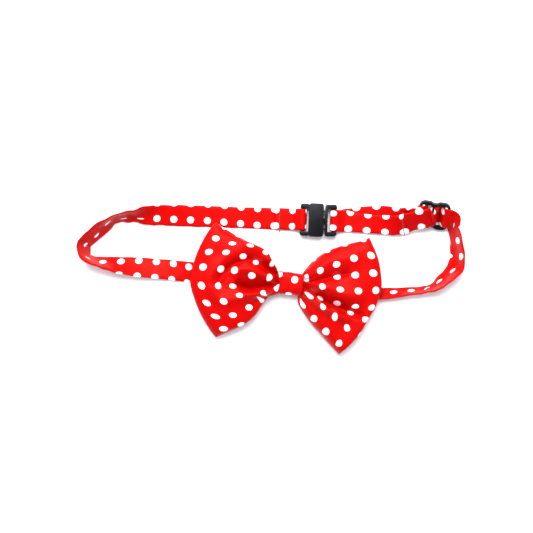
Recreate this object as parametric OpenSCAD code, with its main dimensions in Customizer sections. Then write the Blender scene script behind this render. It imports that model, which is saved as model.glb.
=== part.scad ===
/* [Strap] */
// Width of the neck strap, a pressed satin tube
strap_w = 11; // [9:0.1:13.5]
// Thickness of the strap
strap_t = 1.1; // [0.8:0.05:1.4]
// Length of the doubled end that is sewn down at the socket
fold_back = 21.6; // [16:0.1:26]

/* [Bow] */
// Height of the left wing above the knot's axis at its top corner
left_top = 25.5; // [18:0.5:30]
// Height of the left wing below the knot's axis at its bottom corner
left_bottom = 30.5; // [22:0.5:36]
// Reach of the left wing from the knot's centre
left_reach = 50.3; // [40:0.1:60]
// Height of the right wing above the knot's axis at its top corner
right_top = 27; // [20:0.5:32]
// Height of the right wing below the knot's axis at its bottom corner
right_bottom = 32; // [24:0.5:38]
// Reach of the right wing from the knot's centre
right_reach = 44.6; // [36:0.1:54]
// Rise of the padded front panel over the back panel
puff = 8; // [5:0.1:10]
// Thickness of one satin panel with its facing
panel_t = 0.8; // [0.6:0.05:1]
// Thickness of the interlining
lining_t = 0.6; // [0.4:0.05:0.8]

/* [Knot] */
// Width of the knot band along the strap
band_w = 12; // [9:0.5:15]
// Thickness of the knot band
band_t = 0.7; // [0.5:0.05:0.9]
// Share of the strap's width that is left where the band bunches it
bunched = 0.8; // [0.75:0.01:0.85]
// Thickness of the gathering thread
thread_d = 0.4; // [0.3:0.05:0.5]
// Thickness of the front panel where it is gathered at the waist
waist_t = 2.5; // [2:0.1:3]
// How far the bow can be pushed along the strap, each way
bow_travel = 10; // [6:0.5:10]

/* [Buckle] */
// Width of the buckle across the strap
buckle_w = 16.6; // [15.5:0.1:20]
// Height of the socket
buckle_h = 5.6; // [5.3:0.1:7]
// Length of the socket's box
socket_len = 7.3; // [6.8:0.1:9]
// Wall above and below the socket's cavity
socket_wall = 0.9; // [0.7:0.05:1.1]
// Side wall of the socket's cavity
side_wall = 1; // [0.8:0.05:1.2]
// Gap between the closed plug and the socket
mouth_gap = 0.8; // [0.5:0.1:1.2]
// Radius of each strap bar
bar_r = 0.9; // [0.7:0.05:1]
// Thickness of a prong's arm
prong_t = 1.3; // [1.1:0.05:1.5]

/* [Slider] */
// Length of the slider along the strap
slider_len = 16; // [13.5:0.1:20]
// Width of each rail beside the strap
rail_w = 1.75; // [1.3:0.05:2.2]
// Thickness of the slider
slider_t = 2; // [1.6:0.1:2.4]
// Lean of the slider, with its outer rail raised
slider_lean = 33; // [30:1:36]

/* [Hidden] */
$fn = 48;
// Clearances, all in millimetres
air = 0.3;
snug = 0.1;
layer_gap = 0.15;
slot_play = 0.25;

// Colours
satin_red = [0.85, 0.09, 0.07];
dark_red = [0.45, 0.02, 0.03];
black_plastic = [0.03, 0.03, 0.05];
lining_white = [0.9, 0.88, 0.84];

// Place of the whole object, which centres its outline on the origin
shift = [0.25, -0.1, 0];

// ---- Strap: a flat band through stations [x, y, z, lean, share of the width] ----
// A station on the table takes its height from its lean, so its lower edge rests there
function lying(x, y, lean, lift = 0, share = 1) =
  [x, y, lift + share * strap_w / 2 * sin(lean) + strap_t / 2 * cos(lean), lean, share];

function heading(s, i) =
  let (a = s[max(i - 1, 0)], b = s[min(i + 1, len(s) - 1)], d = [b[0] - a[0], b[1] - a[1]])
  d / norm(d);

// The four corners of the band's section at station i, with its outer edge raised by the lean
function section(s, i, thick) =
  let (
    h = heading(s, i),
    c = [s[i][0], s[i][1], s[i][2]],
    lean = s[i][3],
    half = s[i][4] * strap_w / 2,
    across = [h[1] * cos(lean), -h[0] * cos(lean), sin(lean)],
    up = [-h[1] * sin(lean), h[0] * sin(lean), cos(lean)] * thick / 2
  )
  [c - half * across - up, c - half * across + up, c + half * across + up, c + half * across - up];

function quad(a, b, c, d) = [[a, b, c], [a, c, d]];

// A closed band over the stations from first to last
module band(s, first, last, thick = strap_t) {
  n = last - first + 1;
  points = [for (i = [first : last]) each section(s, i, thick)];
  sides = [
    for (i = [0 : n - 2])
      for (k = [0 : 3])
        each quad(4 * i + k, 4 * i + 4 + k, 4 * i + 4 + (k + 1) % 4, 4 * i + (k + 1) % 4)
  ];
  ends = concat(quad(0, 1, 2, 3), quad(4 * n - 1, 4 * n - 2, 4 * n - 3, 4 * n - 4));
  polyhedron(points, concat(sides, ends));
}

// ---- Buckle frame: +X towards the plug, the strap's middle plane at y = 0 ----
buckle_at = [23.1, 28.6, 0];
buckle_turn = -2;
function from_buckle(x, y = 0) =
  [buckle_at[0] + x * cos(buckle_turn) - y * sin(buckle_turn),
   buckle_at[1] + x * sin(buckle_turn) + y * cos(buckle_turn)];
module in_buckle() {
  translate(buckle_at)
    rotate([0, 0, buckle_turn])
      children();
}
socket_mouth = 2.5;
socket_back = socket_mouth - socket_len;
plug_face = socket_mouth + mouth_gap;
bar_z = buckle_h / 2;
wrap_r = bar_r + snug + strap_t;
socket_bar_x = socket_back - wrap_r - 0.9;
plug_root = 1.3;
plug_bar_x = plug_face + plug_root + 1.1 + wrap_r;
arm_end = bar_r + 0.4;
arm_in = strap_w / 2 + air;
fold_leg = 5.5;
lower_leg_z = strap_t / 2;
upper_leg_z = strap_t * 1.5 + layer_gap;

// ---- Slider frame: +X along the strap, +Y to the raised rail ----
slider_at = [80.2, 31];
slider_turn = -8;
slider_w = strap_w + 2 * slot_play + 2 * rail_w;
end_bar = 1.8;
centre_r = slider_t / 2;
ring_r = centre_r + snug + strap_t;
over_bar_z = slider_t / 2 + layer_gap + strap_t / 2;
under_ring_z = -ring_r - layer_gap - strap_t / 2;
leg_t = 1.6 * strap_t;
slider_z = max(
  strap_w / 2 * sin(slider_lean) + (strap_t / 2 - under_ring_z) * cos(slider_lean),
  slider_w / 2 * sin(slider_lean) + slider_t / 2 * cos(slider_lean)
);
function from_slider(x, y, z, share = 1) =
  let (
    yy = y * cos(slider_lean) - z * sin(slider_lean),
    zz = y * sin(slider_lean) + z * cos(slider_lean)
  )
  [slider_at[0] + x * cos(slider_turn) - yy * sin(slider_turn),
   slider_at[1] + x * sin(slider_turn) + yy * cos(slider_turn),
   slider_z + zz, slider_lean, share];
module in_slider() {
  translate([slider_at[0], slider_at[1], slider_z])
    rotate([0, 0, slider_turn])
      rotate([slider_lean, 0, 0])
        children();
}
threaded_in = slider_len / 2 + 0.3;
threaded_out = slider_len / 2 + 1;

// ---- Bow frame: origin at the knot's centre, +X along the strap's front run ----
knot_at = [9.5, -3, 0];
bow_turn = -6.5;
function from_bow(x, y = 0) =
  [knot_at[0] + x * cos(bow_turn) - y * sin(bow_turn),
   knot_at[1] + x * sin(bow_turn) + y * cos(bow_turn)];
module in_bow() {
  translate(knot_at)
    rotate([0, 0, bow_turn])
      children();
}
strap_lift = band_t + air;
band_in = bunched * strap_w / 2 + slot_play;
core_half = band_in - layer_gap - thread_d;
core_z = strap_lift + strap_t + layer_gap + thread_d + 0.05;
core_h = panel_t + lining_t + waist_t + 2 * air;
band_top = core_z + core_h + thread_d + layer_gap;
straight = band_w / 2 + bow_travel;

// ---- The route of the strap, anticlockwise from the socket's fold ----
back_start = from_buckle(-fold_back, 0);
back_second = from_buckle(-43, 0);
bow_left_2 = from_bow(-50);
bow_left_1 = from_bow(-37);
bow_left_0 = from_bow(-straight);
bow_right_0 = from_bow(straight);
entry = from_slider(threaded_in, 0, over_bar_z);
exit = from_slider(-threaded_out, 0, over_bar_z);
// A station at the full width, a step away from another one
function beyond(s, dx, dy, dz, lean) = [s[0] + dx, s[1] + dy, s[2] + dz, lean, 1];
before_entry = from_slider(threaded_in + 1.5, 0, over_bar_z);

back_route = [
  lying(back_start[0], back_start[1], 0),
  lying(back_second[0], back_second[1], 0, 0, 0.94),
  lying(-42, 30.8, 3, 0, 0.94),
  lying(-58, 31.2, 12, 0, 0.94)
];
left_route = [
  lying(-64, 31.2, 35, 0, 0.94),
  lying(-68, 31.1, 55, 0, 0.95),
  lying(-72, 30.9, 62),
  lying(-76.5, 30.2, 70),
  lying(-80, 28.5, 71),
  lying(-84.5, 25, 55),
  lying(-90.5, 19.8, 55),
  lying(-93.7, 16.3, 58),
  lying(-93.7, 12.6, 65),
  lying(-92.2, 9.9, 68),
  lying(-88.8, 8.2, 68),
  lying(-85, 7.5, 60),
  lying(-80.5, 6.6, 50),
  lying(-73.5, 5.8, 36),
  lying(-66.5, 5.2, 26)
];
front_route = [
  lying(-54, 4.1, 12, 0, 0.94),
  lying(bow_left_2[0], bow_left_2[1], 0, 0, 0.94),
  lying(bow_left_1[0], bow_left_1[1], 0, 0, 0.9),
  lying(bow_left_0[0], bow_left_0[1], 0, strap_lift, bunched),
  lying(bow_right_0[0], bow_right_0[1], 0, strap_lift, bunched),
  lying(39, -6.3, 6, 0.2, 0.76),
  lying(47, -7.2, 20, 0, 0.7),
  lying(54.5, -8, 32, 0, 0.64),
  lying(62, -7.7, 42, 0, 0.6),
  lying(70, -6.9, 56, 0, 0.6)
];
right_route = [
  lying(76, -6.3, 65, 0, 0.65),
  lying(81, -5.2, 64, 0, 0.8),
  lying(84.6, -2.3, 57, 0, 0.95),
  lying(88.6, 1.2, 54),
  lying(91.5, 5.3, 46),
  lying(92.6, 10.5, 54),
  lying(91.9, 17, 60),
  lying(92, 22, 64),
  lying(91.8, 25, 60),
  beyond(entry, 2.7, -1.1, -0.9, 50),
  before_entry,
  entry
];
loop_route = concat(back_route, left_route, front_route, right_route);
left_first = len(back_route) - 1;
front_first = len(back_route) + len(left_route) - 1;
right_first = front_first + len(front_route);

// The run from the slider to the plug that lies underneath
plug_leg = from_buckle(plug_bar_x + fold_leg, 0);
plug_leg_in = from_buckle(plug_bar_x + fold_leg + 3, 0);
under_route = [
  exit,
  from_slider(-threaded_out - 1.2, 0, over_bar_z),
  beyond(exit, -3.2, -0.8, -1.8, 31),
  beyond(exit, -6.7, -1.7, -3.6, 25),
  [60, 29.4, 2.1, 14, 1],
  lying(54, 29.5, 4),
  lying(46, 29.1, 0),
  lying(plug_leg_in[0], plug_leg_in[1], 0),
  lying(plug_leg[0], plug_leg[1], 0)
];

// The sewn loop's leg, and the top run that carries on from it to the plug
leg_z = over_bar_z + strap_t / 2 + layer_gap + leg_t / 2 + 0.1;
leg_route = [
  from_slider(-0.4, 0, centre_r + snug + leg_t / 2),
  from_slider(-3.5, -0.6, leg_z - 0.4),
  from_slider(-5.3, -1.1, leg_z),
  from_slider(-7.5, -1.8, leg_z),
  from_slider(-11, -3.6, leg_z),
  [65, 26.4, 4.9, 26, 1],
  [62.5, 26.3, 4.1, 21, 1]
];
top_route = [
  [62.5, 26.3, 4.1, 21, 1],
  [60, 26.2, 3.5, 16, 1],
  [56, 26.5, 2.9, 9, 1],
  [52, 27, 2.5, 4, 1],
  lying(46, 27.5, 0, strap_t + layer_gap + 0.05),
  lying(plug_leg_in[0], plug_leg_in[1], 0, strap_t + layer_gap),
  lying(plug_leg[0], plug_leg[1], 0, strap_t + layer_gap)
];

module strap_front() {
  color(satin_red)
    band(loop_route, front_first, right_first);
}
module strap_left_end() {
  color(satin_red)
    band(loop_route, left_first, front_first);
}
module strap_back() {
  color(satin_red)
    band(loop_route, 0, left_first);
}
module strap_right_end() {
  color(satin_red)
    band(loop_route, right_first, len(loop_route) - 1);
}
module strap_under_run() {
  color(satin_red)
    band(under_route, 0, len(under_route) - 1);
}
module strap_top_run() {
  color(satin_red)
    band(top_route, 0, len(top_route) - 1);
}

// ---- Folds: a strap path in side view, thickened on both sides and extruded across ----
function mitre(p, i) =
  let (
    a = p[max(i - 1, 0)],
    b = p[i],
    c = p[min(i + 1, len(p) - 1)],
    d1 = i == 0 ? (c - b) / norm(c - b) : (b - a) / norm(b - a),
    d2 = i == len(p) - 1 ? d1 : (c - b) / norm(c - b),
    n = [-(d1[1] + d2[1]), d1[0] + d2[0]]
  )
  n / (norm(n) * sqrt((1 + d1 * d2) / 2));

// The side view lies in X and Z, and the extrusion runs across the strap
module folded(path, thick, wide) {
  edge_a = [for (i = [0 : len(path) - 1]) path[i] + mitre(path, i) * thick / 2];
  edge_b = [for (i = [len(path) - 1 : -1 : 0]) path[i] - mitre(path, i) * thick / 2];
  rotate([90, 0, 0])
    linear_extrude(wide, center = true)
      polygon(concat(edge_a, edge_b));
}

// A fold round a bar at x = 0, with its legs towards -X
function wrap_path(leg) =
  concat(
    [[-leg, lower_leg_z], [-leg + 0.6, lower_leg_z]],
    [for (a = [-105 : 15 : 105]) [0, bar_z] + (bar_r + snug + strap_t / 2) * [cos(a), sin(a)]],
    [[-leg + 0.6, upper_leg_z], [-leg, upper_leg_z]]
  );

module strap_socket_fold() {
  color(satin_red)
    in_buckle() {
      translate([socket_bar_x, 0, 0])
        folded(wrap_path(fold_leg), strap_t, strap_w);
      // The sewn-down end lies on the strap
      sewn = fold_back + socket_bar_x - fold_leg;
      for (z = [0, strap_t + layer_gap])
        translate([-fold_back, -strap_w / 2, z])
          cube([sewn, strap_w, strap_t]);
    }
}
module strap_plug_fold() {
  color(satin_red)
    in_buckle()
      translate([plug_bar_x, 0, 0])
        mirror([1, 0, 0])
          folded(wrap_path(fold_leg), strap_t, strap_w);
}
module strap_threaded_run() {
  color(satin_red)
    in_slider()
      folded(
        [
          [threaded_in, over_bar_z], [5.5, over_bar_z], [3.4, under_ring_z],
          [-3.4, under_ring_z], [-5.5, over_bar_z], [-threaded_out, over_bar_z]
        ],
        strap_t, strap_w
      );
}
module slider_loop() {
  color(satin_red) {
    in_slider()
      rotate([90, 0, 0])
        linear_extrude(strap_w, center = true)
          difference() {
            circle(ring_r);
            circle(centre_r + snug);
          }
    band(leg_route, 0, len(leg_route) - 1, leg_t);
  }
}

// ---- Stitches: short raised threads in a row across the strap ----
module stitch_row(pitch, count) {
  stitch_l = pitch * 0.75;
  for (i = [0 : count - 1])
    translate([0, (i - (count - 1) / 2) * pitch, thread_d / 4])
      cube([thread_d, stitch_l, thread_d / 2], center = true);
}
module socket_stitches() {
  color(dark_red)
    in_buckle()
      translate([2.2 - fold_back, 0, 2 * strap_t + layer_gap])
        stitch_row(1.3, 8);
}
module slider_stitches() {
  sewn_at = leg_route[5];
  color(dark_red)
    translate([sewn_at[0], sewn_at[1], sewn_at[2]])
      rotate([0, 0, 10])
        rotate([sewn_at[3], 0, 0])
          translate([0, 0, leg_t / 2 + 0.05])
            stitch_row(1.3, 7);
}

// ---- Buckle ----
// A rectangle from x0 to x1, centred on y = 0, with rounded corners
module rounded(x0, x1, wide, r) {
  translate([x0 + r, -wide / 2])
    square([x1 - x0 - 2 * r, wide]);
  translate([x0, -wide / 2 + r])
    square([x1 - x0, wide - 2 * r]);
  for (x = [x0 + r, x1 - r])
    for (y = [-1, 1])
      translate([x, y * (wide / 2 - r)])
        circle(r);
}
module strap_bar(x) {
  translate([x, 0, bar_z])
    rotate([90, 0, 0])
      cylinder(h = 2 * arm_in + 1, r = bar_r, center = true);
}
window_back = socket_back + 1.2;
window_front = socket_mouth - 2.3;
cavity_back = socket_back + 0.8;
module buckle_socket() {
  cavity_half = buckle_w / 2 - side_wall;
  color(black_plastic)
    in_buckle() {
      difference() {
        linear_extrude(buckle_h)
          rounded(socket_back, socket_mouth, buckle_w, 1.2);
        translate([cavity_back, -cavity_half, socket_wall])
          cube([socket_len, 2 * cavity_half, buckle_h - 2 * socket_wall]);
        translate([window_back, -buckle_w, socket_wall])
          cube([window_front - window_back, 2 * buckle_w, buckle_h - 2 * socket_wall]);
      }
      // The two arms beside the strap, and the bar that it is folded round
      translate([0, 0, 0.6])
        linear_extrude(buckle_h - 1.2)
          difference() {
            rounded(socket_bar_x - arm_end, socket_back + 0.3, buckle_w - 0.5, 1.2);
            translate([socket_bar_x - 2 * arm_end, -arm_in])
              square([socket_back - socket_bar_x + 2 * arm_end - 0.1, 2 * arm_in]);
          }
      strap_bar(socket_bar_x);
    }
}
// Prong: its hinge, its catch and its tip
hinge_x = plug_face - prong_t / 2 - 0.05;
hinge_y = 4.3;
catch_x = window_front - air;
catch_y = buckle_w / 2 - air;
tip_x = cavity_back + air;
prong_h = buckle_h - 2 * socket_wall - 2 * air;
module prong() {
  translate([0, 0, bar_z - prong_h / 2])
    linear_extrude(prong_h) {
      translate([hinge_x, hinge_y])
        circle(prong_t / 2);
      polygon([
        [hinge_x, hinge_y - prong_t / 2], [hinge_x, hinge_y + prong_t / 2],
        [catch_x, hinge_y + prong_t / 2 + 0.1], [catch_x, catch_y],
        [catch_x - 2, catch_y - 0.4], [tip_x, hinge_y + 1.1],
        [tip_x, hinge_y - 0.3], [catch_x - 0.5, hinge_y - prong_t / 2]
      ]);
    }
}
module prong_upper() {
  color(black_plastic)
    in_buckle()
      prong();
}
module prong_lower() {
  color(black_plastic)
    in_buckle()
      mirror([0, 1, 0])
        prong();
}
module buckle_plug() {
  tongue_w = 2.4;
  tongue_h = 2.4;
  color(black_plastic)
    in_buckle() {
      translate([0, 0, 0.4])
        linear_extrude(buckle_h - 0.8)
          difference() {
            rounded(plug_face, plug_bar_x + arm_end, buckle_w - 0.7, 1.2);
            translate([plug_face + plug_root, -arm_in])
              square([plug_bar_x - plug_face, 2 * arm_in]);
          }
      strap_bar(plug_bar_x);
      // The guide tongue slides in the middle of the cavity
      translate([cavity_back + air, -tongue_w / 2, bar_z - tongue_h / 2])
        cube([plug_face - cavity_back, tongue_w, tongue_h]);
    }
}

// ---- Slider: two rounded lobes side by side, with a slot in each ----
module slider() {
  lobe = slider_len / 2 + 0.3;
  slot_start = 0.4 * centre_r;
  slot_len = slider_len / 2 - end_bar - slot_start;
  color(black_plastic)
    in_slider() {
      linear_extrude(slider_t, center = true)
        difference() {
          for (side = [0, 180])
            rotate([0, 0, side])
              rounded(-0.3, slider_len / 2, slider_w, lobe * 0.4);
          for (side = [0, 180])
            rotate([0, 0, side])
              translate([slot_start, 0])
                rounded(0, slot_len, slider_w - 2 * rail_w, slot_play);
        }
      rotate([90, 0, 0])
        cylinder(h = slider_w - rail_w, r = centre_r, center = true);
    }
}

// ---- Bow ----
// Side is -1 for the left wing and 1 for the right one; v runs from -1, below, to 1, above
function reach(side, v) =
  side < 0
    ? left_reach + 3.4 * v - 0.25 * left_reach * v * v
    : right_reach + 4.3 * v - 0.285 * right_reach * v * v;
function corner(side, v) =
  side < 0 ? (v > 0 ? left_top : left_bottom) : (v > 0 ? right_top : right_bottom);
// u runs from -1 at the left wing's edge, over the waist, to 1 at the right wing's edge
waist_u = 0.12;
waist_x = band_w / 2 + air;
function wing_a(u) = max(0, (abs(u) - waist_u) / (1 - waist_u));
function bow_xy(u, v, inset) =
  let (
    side = u < 0 ? -1 : 1,
    a = wing_a(u) * (1 - inset),
    spread = pow(a, 0.775 - 0.225 * v),
    x = a > 0 ? waist_x + (reach(side, v) - waist_x) * a : waist_x * abs(u) / waist_u,
    y = v * (core_half + (corner(side, v) * (1 - inset) - core_half) * spread)
  )
  from_bow(side * x, y);
function back_z(u) = core_z + 3.4 * pow(wing_a(u), 2);
function swell(u, v) = puff * sin(180 * pow(wing_a(u), 0.75)) * (1 - 0.75 * v * v);
function front_z(u, v) = back_z(u) + panel_t + lining_t + 2 * air + swell(u, v);
function front_t(u) = panel_t + (waist_t - panel_t) * pow(1 - wing_a(u), 4);
wing_steps = 12;
waist_steps = 4;
u_steps = 2 * wing_steps + waist_steps;
v_steps = 12;
// Even steps over the waist, and even steps over each wing
function u_at(i) =
  let (k = i - u_steps / 2, beyond = max(0, abs(k) - waist_steps / 2))
  beyond > 0
    ? sign(k) * (waist_u + (1 - waist_u) * beyond / wing_steps)
    : waist_u * k / (waist_steps / 2);
function v_at(k) = 2 * k / v_steps - 1;

// A closed sheet between a lower and an upper grid of points
module sheet(lower, upper) {
  m = v_steps + 1;
  n = (u_steps + 1) * m;
  function at(i, k) = i * m + k;
  tops = [
    for (i = [0 : u_steps - 1]) for (k = [0 : v_steps - 1])
      each quad(n + at(i, k), n + at(i, k + 1), n + at(i + 1, k + 1), n + at(i + 1, k))
  ];
  bottoms = [
    for (i = [0 : u_steps - 1]) for (k = [0 : v_steps - 1])
      each quad(at(i, k), at(i + 1, k), at(i + 1, k + 1), at(i, k + 1))
  ];
  long_rims = [
    for (i = [0 : u_steps - 1])
      each concat(
        quad(at(i, 0), n + at(i, 0), n + at(i + 1, 0), at(i + 1, 0)),
        quad(at(i, v_steps), at(i + 1, v_steps), n + at(i + 1, v_steps), n + at(i, v_steps))
      )
  ];
  short_rims = [
    for (k = [0 : v_steps - 1])
      each concat(
        quad(at(0, k), at(0, k + 1), n + at(0, k + 1), n + at(0, k)),
        quad(at(u_steps, k), n + at(u_steps, k), n + at(u_steps, k + 1), at(u_steps, k + 1))
      )
  ];
  polyhedron(concat(lower, upper), concat(tops, bottoms, long_rims, short_rims));
}
function grid(z_of, inset) = [
  for (i = [0 : u_steps]) for (k = [0 : v_steps])
    let (u = u_at(i), v = v_at(k), p = bow_xy(u, v, inset)) [p[0], p[1], z_of(u, v)]
];
module bow_front_panel() {
  color(satin_red)
    sheet(
      grid(function (u, v) front_z(u, v), 0),
      grid(function (u, v) front_z(u, v) + front_t(u), 0)
    );
}
module bow_back_panel() {
  color(satin_red)
    sheet(
      grid(function (u, v) back_z(u), 0),
      grid(function (u, v) back_z(u) + panel_t, 0)
    );
}
module bow_interlining() {
  color(lining_white)
    sheet(
      grid(function (u, v) back_z(u) + panel_t + air, 0.04),
      grid(function (u, v) back_z(u) + panel_t + air + lining_t, 0.04)
    );
}

// ---- Knot ----
// A band with rounded corners round a box of half width y and from z0 to z1, along X
module hoop(y, z0, z1, thick, wide, r) {
  rotate([90, 0, 90])
    linear_extrude(wide, center = true)
      difference() {
        translate([0, (z0 + z1) / 2])
          rounded(-y - thick, y + thick, z1 - z0 + 2 * thick, r + thick);
        translate([0, (z0 + z1) / 2])
          rounded(-y, y, z1 - z0, r);
      }
}
module gathering_thread() {
  color(dark_red)
    in_bow()
      for (x = [-1.2, 0, 1.2])
        translate([x, 0, 0])
          hoop(core_half + 0.05, core_z - 0.05, core_z + core_h + 0.05, thread_d, thread_d, 0.05);
}
module knot_band() {
  color(satin_red)
    in_bow()
      hoop(band_in, band_t, band_top, band_t, band_w, 0.6);
}
module band_stitches() {
  color(dark_red)
    in_bow()
      for (i = [-2 : 2])
        translate([i * 2, -band_in - band_t - thread_d / 2 - 0.02, strap_lift + 1.4])
          cube([thread_d, thread_d, 1.8], center = true);
}

translate(shift) strap_front();
translate(shift) strap_left_end();
translate(shift) strap_back();
translate(shift) strap_right_end();
translate(shift) strap_socket_fold();
translate(shift) strap_threaded_run();
translate(shift) strap_under_run();
translate(shift) strap_plug_fold();
translate(shift) strap_top_run();
translate(shift) slider_loop();
translate(shift) socket_stitches();
translate(shift) slider_stitches();
translate(shift) buckle_socket();
translate(shift) buckle_plug();
translate(shift) prong_upper();
translate(shift) prong_lower();
translate(shift) slider();
translate(shift) bow_front_panel();
translate(shift) bow_back_panel();
translate(shift) bow_interlining();
translate(shift) gathering_thread();
translate(shift) knot_band();
translate(shift) band_stitches();
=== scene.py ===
import math

import bmesh
import bpy
import numpy as np
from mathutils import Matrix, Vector, noise


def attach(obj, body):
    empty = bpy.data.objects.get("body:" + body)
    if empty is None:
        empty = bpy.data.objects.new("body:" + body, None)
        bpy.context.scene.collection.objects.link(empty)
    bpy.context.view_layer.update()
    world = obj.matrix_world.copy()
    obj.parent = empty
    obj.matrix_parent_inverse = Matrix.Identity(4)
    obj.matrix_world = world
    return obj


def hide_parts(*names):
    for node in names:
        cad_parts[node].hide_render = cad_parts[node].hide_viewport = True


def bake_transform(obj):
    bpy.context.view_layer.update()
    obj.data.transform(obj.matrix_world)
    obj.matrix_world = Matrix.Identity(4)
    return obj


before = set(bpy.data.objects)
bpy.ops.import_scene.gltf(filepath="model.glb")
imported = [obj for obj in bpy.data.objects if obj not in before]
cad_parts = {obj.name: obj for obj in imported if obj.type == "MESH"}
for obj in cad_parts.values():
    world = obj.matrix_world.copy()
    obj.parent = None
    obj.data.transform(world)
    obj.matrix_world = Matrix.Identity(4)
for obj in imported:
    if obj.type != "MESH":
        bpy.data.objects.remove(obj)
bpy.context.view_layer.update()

# ---- Table, light and camera ----
# The tie lies on a plain white table top under a large overhead softbox, which leaves only faint shadows,
# and is seen from straight above.
MM = 0.001  # pieces are written in millimetres and built in metres


def linear(hex_colour):
    """An sRGB hex colour as linear red, green, blue and alpha."""
    parts = [int(hex_colour[i:i + 2], 16) / 255 for i in (1, 3, 5)]
    return [c / 12.92 if c <= 0.04045 else ((c + 0.055) / 1.055) ** 2.4 for c in parts] + [1.0]


def add(material, kind, inputs, **settings):
    """Adds a node with its settings; an input is a value or another node's output."""
    made = material.node_tree.nodes.new(kind)
    for name, value in settings.items():
        setattr(made, name, value)
    for name, value in inputs.items():
        if isinstance(value, bpy.types.NodeSocket):
            material.node_tree.links.new(value, made.inputs[name])
        else:
            made.inputs[name].default_value = value
    return made


def new_material(name):
    """An empty node material with its output node."""
    material = bpy.data.materials.new(name)
    material.use_nodes = True
    material.node_tree.nodes.clear()
    return material


view_centre = Vector((-2.5, 5.4, 0)) * MM
view_width = 266.5 * MM
camera_height = 0.9
camera = bpy.data.objects.new("camera", bpy.data.cameras.new("camera"))
camera.location = view_centre + Vector((0, 0, camera_height))
camera.data.sensor_width = 36
camera.data.lens = 36 * camera_height / view_width
camera.data.clip_end = 20
bpy.context.collection.objects.link(camera)
bpy.context.scene.camera = camera
bpy.context.scene.view_settings.view_transform = "Standard"

bm = bmesh.new()
bmesh.ops.create_grid(bm, x_segments=1, y_segments=1, size=4)
table_mesh = bpy.data.meshes.new("table_top")
bm.to_mesh(table_mesh)
bm.free()
table_top = bpy.data.objects.new("table_top", table_mesh)
bpy.context.collection.objects.link(table_top)

# Matt white laminate: even and nearly without gloss
laminate = new_material("white_laminate")
laminate_shader = add(laminate, "ShaderNodeBsdfPrincipled", {
    "Base Color": linear("#FBFBFB"), "Roughness": 0.7, "Specular IOR Level": 0.2})
add(laminate, "ShaderNodeOutputMaterial", {"Surface": laminate_shader.outputs["BSDF"]})
table_mesh.materials.append(laminate)

world = bpy.data.worlds.new("studio")
world.use_nodes = True
world.node_tree.nodes["Background"].inputs["Color"].default_value = linear("#F3F6FF")
world.node_tree.nodes["Background"].inputs["Strength"].default_value = 0.85
bpy.context.scene.world = world


def softbox(name, place, size, watts):
    """A square area light that looks at the tie."""
    data = bpy.data.lights.new(name, "AREA")
    data.size = size
    data.energy = watts
    lamp = bpy.data.objects.new(name, data)
    lamp.location = place
    lamp.rotation_euler = Vector(place).to_track_quat("Z", "Y").to_euler()
    bpy.context.collection.objects.link(lamp)


softbox("softbox_over", (-0.1, 0.75, 1.25), 1.0, 42)
softbox("softbox_far", (-0.35, 1.4, 0.8), 0.6, 12)

# ---- Polka-dot satin ----
# Bright red polyester satin, woven with a smooth long-float face and printed with white dots of 3.4 mm
# on a square grid of 8.5 mm. Sewn pieces carry their cut cloth's own coordinates, in millimetres.
DOT_PITCH = 8.5
DOT_ACROSS = 3.4


def satin_material():
    # Polyester satin: a soft sheen drawn out along the floats, and white print as smooth as the ground
    satin = new_material("polka_dot_satin")
    cloth = add(satin, "ShaderNodeUVMap", {}, uv_map="cloth")
    wobble = add(satin, "ShaderNodeTexNoise", {"Vector": cloth.outputs["UV"], "Scale": 0.9, "Detail": 1.0})
    printed = add(satin, "ShaderNodeMixRGB", {"Fac": 0.12, "Color1": cloth.outputs["UV"],
                                              "Color2": wobble.outputs["Color"]}, blend_type="LINEAR_LIGHT")
    grid = add(satin, "ShaderNodeTexVoronoi", {"Vector": printed.outputs["Color"], "Scale": 1 / DOT_PITCH,
                                               "Randomness": 0.0}, voronoi_dimensions="2D")
    edge = DOT_ACROSS / 2 / DOT_PITCH
    ink = add(satin, "ShaderNodeMapRange", {"Value": grid.outputs["Distance"], "From Min": edge - 0.012,
                                            "From Max": edge + 0.012, "To Min": 1.0, "To Max": 0.0})
    # Dye lots and handling: slow changes of tone over a centimetre or two
    tone = add(satin, "ShaderNodeTexNoise", {"Vector": cloth.outputs["UV"], "Scale": 0.09, "Detail": 3.0})
    ground = add(satin, "ShaderNodeMix", {"Factor": tone.outputs["Fac"], "A": linear("#A00202"),
                                          "B": linear("#B20303")}, data_type="RGBA")
    colour = add(satin, "ShaderNodeMix", {"Factor": ink.outputs["Result"], "A": ground.outputs["Result"],
                                          "B": linear("#F6F3F6")}, data_type="RGBA")
    # Real floats lie about 0.25 mm apart; soft ribs about 1 mm apart stand for them, so that they show
    floats = add(satin, "ShaderNodeTexWave", {"Vector": cloth.outputs["UV"], "Scale": 0.45473,
                                              "Distortion": 1.5, "Detail": 2.0, "Detail Scale": 1.5},
                 bands_direction="DIAGONAL")
    relief = add(satin, "ShaderNodeBump", {"Height": floats.outputs["Fac"], "Strength": 0.12,
                                           "Distance": 0.00006})
    along = add(satin, "ShaderNodeTangent", {}, direction_type="UV_MAP", uv_map="cloth")
    shader = add(satin, "ShaderNodeBsdfPrincipled", {
        "Base Color": colour.outputs["Result"], "Roughness": 0.42, "Specular IOR Level": 0.2,
        "Specular Tint": linear("#FF8074"), "Anisotropic": 0.5, "Tangent": along.outputs["Tangent"],
        "Sheen Weight": 0.06, "Sheen Roughness": 0.35, "Sheen Tint": linear("#FF5048"),
        "Normal": relief.outputs["Normal"]})
    add(satin, "ShaderNodeOutputMaterial", {"Surface": shader.outputs["BSDF"]})
    return satin


satin = satin_material()


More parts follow.
